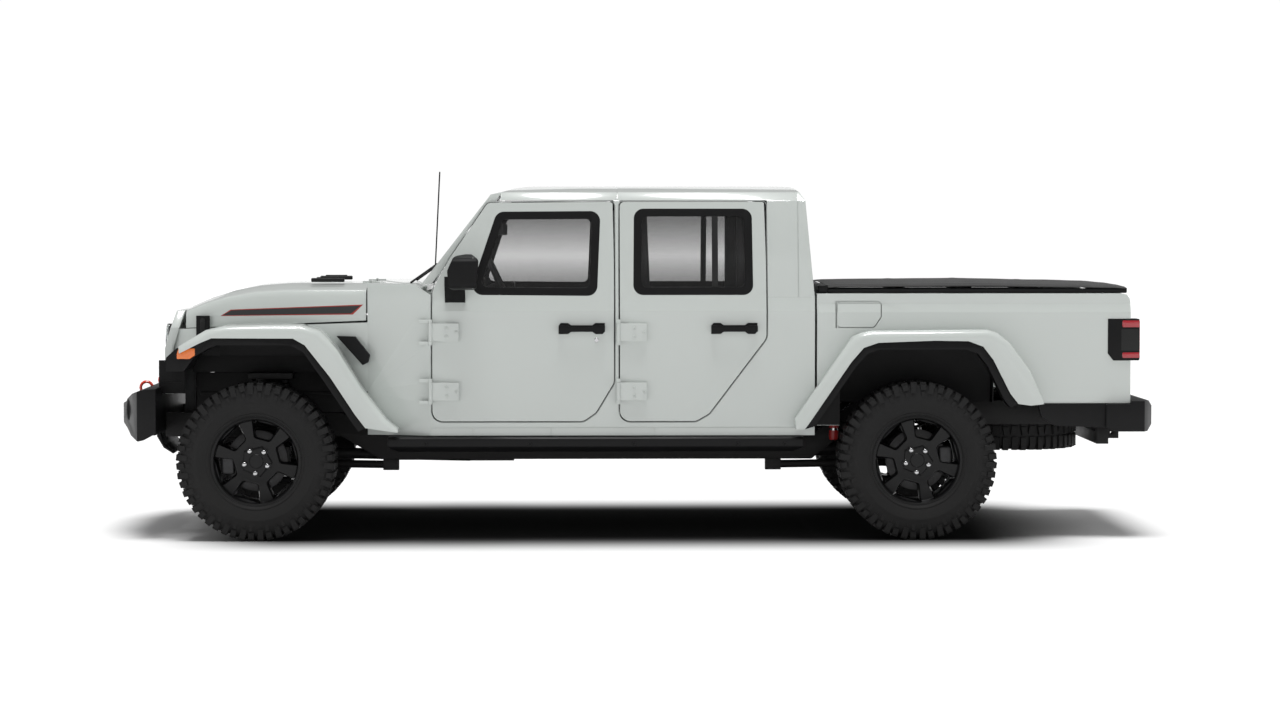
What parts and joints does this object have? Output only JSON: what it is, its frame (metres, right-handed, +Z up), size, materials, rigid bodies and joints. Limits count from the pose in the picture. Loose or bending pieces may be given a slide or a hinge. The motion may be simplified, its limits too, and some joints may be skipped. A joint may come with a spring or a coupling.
{
  "type": "lifted off-road pickup truck",
  "caption": "Lifted off-road pickup truck with a crew cab, short covered bed, mud tyres on black rims, opening doors, hood and tailgate, and steering front wheels.",
  "frame": {"origin": "on the ground under the middle of the vehicle's length and width", "axes": "+X towards the tail, -Y towards the vehicle's left side, +Z up; the vehicle faces -X"},
  "size_m": [5.54, 2.114, 1.9632],
  "materials": {
    "paint_white": "gloss",
    "tyre": "matte",
    "rim_black": "satin",
    "black_plastic": "matte",
    "black_steel": "satin",
    "glass": "gloss",
    "lamp_red": "gloss",
    "lamp_clear": "gloss",
    "lamp_amber": "gloss",
    "hook_red": "gloss",
    "cover_fabric": "matte",
    "seat_fabric": "matte",
    "interior_plastic": "matte",
    "engine_metal": "cast",
    "exhaust_steel": "dull",
    "axle_iron": "painted"
  },
  "bodies": {
    "chassis": {"cab_tub": "paint_white", "hardtop": "paint_white", "windshield_frame": "paint_white", "cab_glass": "glass", "front_body": "paint_white", "grille": "paint_white", "headlamps": "lamp_clear", "side_markers": "lamp_amber", "flares": "paint_white", "flare_liners": "black_plastic", "bed": "paint_white", "tail_lamps": "lamp_red", "bed_cover": "cover_fabric", "front_bumper": "black_steel", "rear_bumper": "black_steel", "tow_hooks": "hook_red", "rock_rails": "black_steel", "body_fittings": "black_plastic", "frame": "black_steel", "frame_members": "black_steel", "front_axle": "axle_iron", "rear_axle": "axle_iron", "suspension_links": "black_steel", "springs_shocks": "black_steel", "powertrain": "engine_metal", "exhaust": "exhaust_steel", "fuel_tank": "black_plastic", "spare_wheel": "tyre", "seats": "seat_fabric", "dashboard": "interior_plastic", "hitch_receiver": "black_steel"},
    "hood": {"hood": "paint_white"},
    "tailgate": {"tailgate": "paint_white"},
    "fuel_door": {"fuel_door": "paint_white"},
    "tie_rod": {"tie_rod": "axle_iron"},
    "pitman_arm": {"pitman_arm": "axle_iron"},
    "steering_wheel": {"steering_wheel": "interior_plastic"},
    "knuckle_left": {"knuckle_left": "axle_iron"},
    "front_door_left": {"front_door_left": "paint_white", "front_door_glass_left": "glass", "front_door_trim_left": "black_plastic"},
    "front_wheel_left": {"front_tyre_left": "tyre", "front_rim_left": "rim_black"},
    "rear_door_left": {"rear_door_left": "paint_white", "rear_door_glass_left": "glass", "rear_door_trim_left": "black_plastic"},
    "rear_wheel_left": {"rear_tyre_left": "tyre", "rear_rim_left": "rim_black"},
    "knuckle_right": {"knuckle_right": "axle_iron"},
    "front_door_right": {"front_door_right": "paint_white", "front_door_glass_right": "glass", "front_door_trim_right": "black_plastic"},
    "front_wheel_right": {"front_tyre_right": "tyre", "front_rim_right": "rim_black"},
    "rear_door_right": {"rear_door_right": "paint_white", "rear_door_glass_right": "glass", "rear_door_trim_right": "black_plastic"},
    "rear_wheel_right": {"rear_tyre_right": "tyre", "rear_rim_right": "rim_black"}
  },
  "joints": [
    {"name": "hood_hinge", "type": "hinge", "parent": "chassis", "child": "hood", "pos_m": [-1.417, 0, 1.356], "axis": [0, 1, 0], "range_deg": [0, 55]},
    {"name": "front_door_left_hinge", "type": "hinge", "parent": "chassis", "child": "front_door_left", "pos_m": [-1.075, -0.83, 0.94], "axis": [0, 0, -1], "range_deg": [0, 65]},
    {"name": "rear_door_left_hinge", "type": "hinge", "parent": "chassis", "child": "rear_door_left", "pos_m": [-0.082, -0.83, 0.94], "axis": [0, 0, -1], "range_deg": [0, 65]},
    {"name": "front_door_right_hinge", "type": "hinge", "parent": "chassis", "child": "front_door_right", "pos_m": [-1.075, 0.83, 0.94], "axis": [0, 0, 1], "range_deg": [0, 65]},
    {"name": "rear_door_right_hinge", "type": "hinge", "parent": "chassis", "child": "rear_door_right", "pos_m": [-0.082, 0.83, 0.94], "axis": [0, 0, 1], "range_deg": [0, 65]},
    {"name": "tailgate_hinge", "type": "hinge", "parent": "chassis", "child": "tailgate", "pos_m": [2.61, 0, 0.763], "axis": [0, 1, 0], "range_deg": [0, 90]},
    {"name": "fuel_door_hinge", "type": "hinge", "parent": "chassis", "child": "fuel_door", "pos_m": [1.081, -0.80133, 1.188], "axis": [0, 0, -1], "range_deg": [0, 90]},
    {"name": "steer_left", "type": "hinge", "parent": "chassis", "child": "knuckle_left", "pos_m": [-1.99, -0.69, 0.419], "axis": [0, 0, 1], "range_deg": [-30, 30]},
    {"name": "steer_right", "type": "hinge", "parent": "chassis", "child": "knuckle_right", "pos_m": [-1.99, 0.69, 0.419], "axis": [0, 0, 1], "range_deg": [-30, 30]},
    {"name": "tie_rod_pivot", "type": "hinge", "parent": "knuckle_left", "child": "tie_rod", "pos_m": [-2.155, -0.69, 0.449], "axis": [0, 0, 1], "range_deg": [-30, 30]},
    {"name": "pitman_pivot", "type": "hinge", "parent": "chassis", "child": "pitman_arm", "pos_m": [-2.125, -0.296, 0.505], "axis": [0, 0, 1], "range_deg": [-30, 30]},
    {"name": "steering_wheel_spin", "type": "hinge", "parent": "chassis", "child": "steering_wheel", "pos_m": [-0.71043, -0.37835, 1.334], "axis": [0.9063, 0, 0.4226], "range_deg": [-450, 450]},
    {"name": "front_wheel_left_spin", "type": "hinge", "parent": "knuckle_left", "child": "front_wheel_left", "pos_m": [-1.99, -0.8, 0.419], "axis": [0, 1, 0], "continuous": true},
    {"name": "rear_wheel_left_spin", "type": "hinge", "parent": "chassis", "child": "rear_wheel_left", "pos_m": [1.498, -0.8, 0.419], "axis": [0, 1, 0], "continuous": true},
    {"name": "front_wheel_right_spin", "type": "hinge", "parent": "knuckle_right", "child": "front_wheel_right", "pos_m": [-1.99, 0.8, 0.419], "axis": [0, 1, 0], "continuous": true},
    {"name": "rear_wheel_right_spin", "type": "hinge", "parent": "chassis", "child": "rear_wheel_right", "pos_m": [1.498, 0.8, 0.419], "axis": [0, 1, 0], "continuous": true}
  ],
  "couplings": [
    {"joint": "steer_right", "follows": "steer_left", "ratio": 1},
    {"joint": "tie_rod_pivot", "follows": "steer_left", "ratio": -1},
    {"joint": "pitman_pivot", "follows": "steer_left", "ratio": 1},
    {"joint": "steering_wheel_spin", "follows": "steer_left", "ratio": 15}
  ]
}
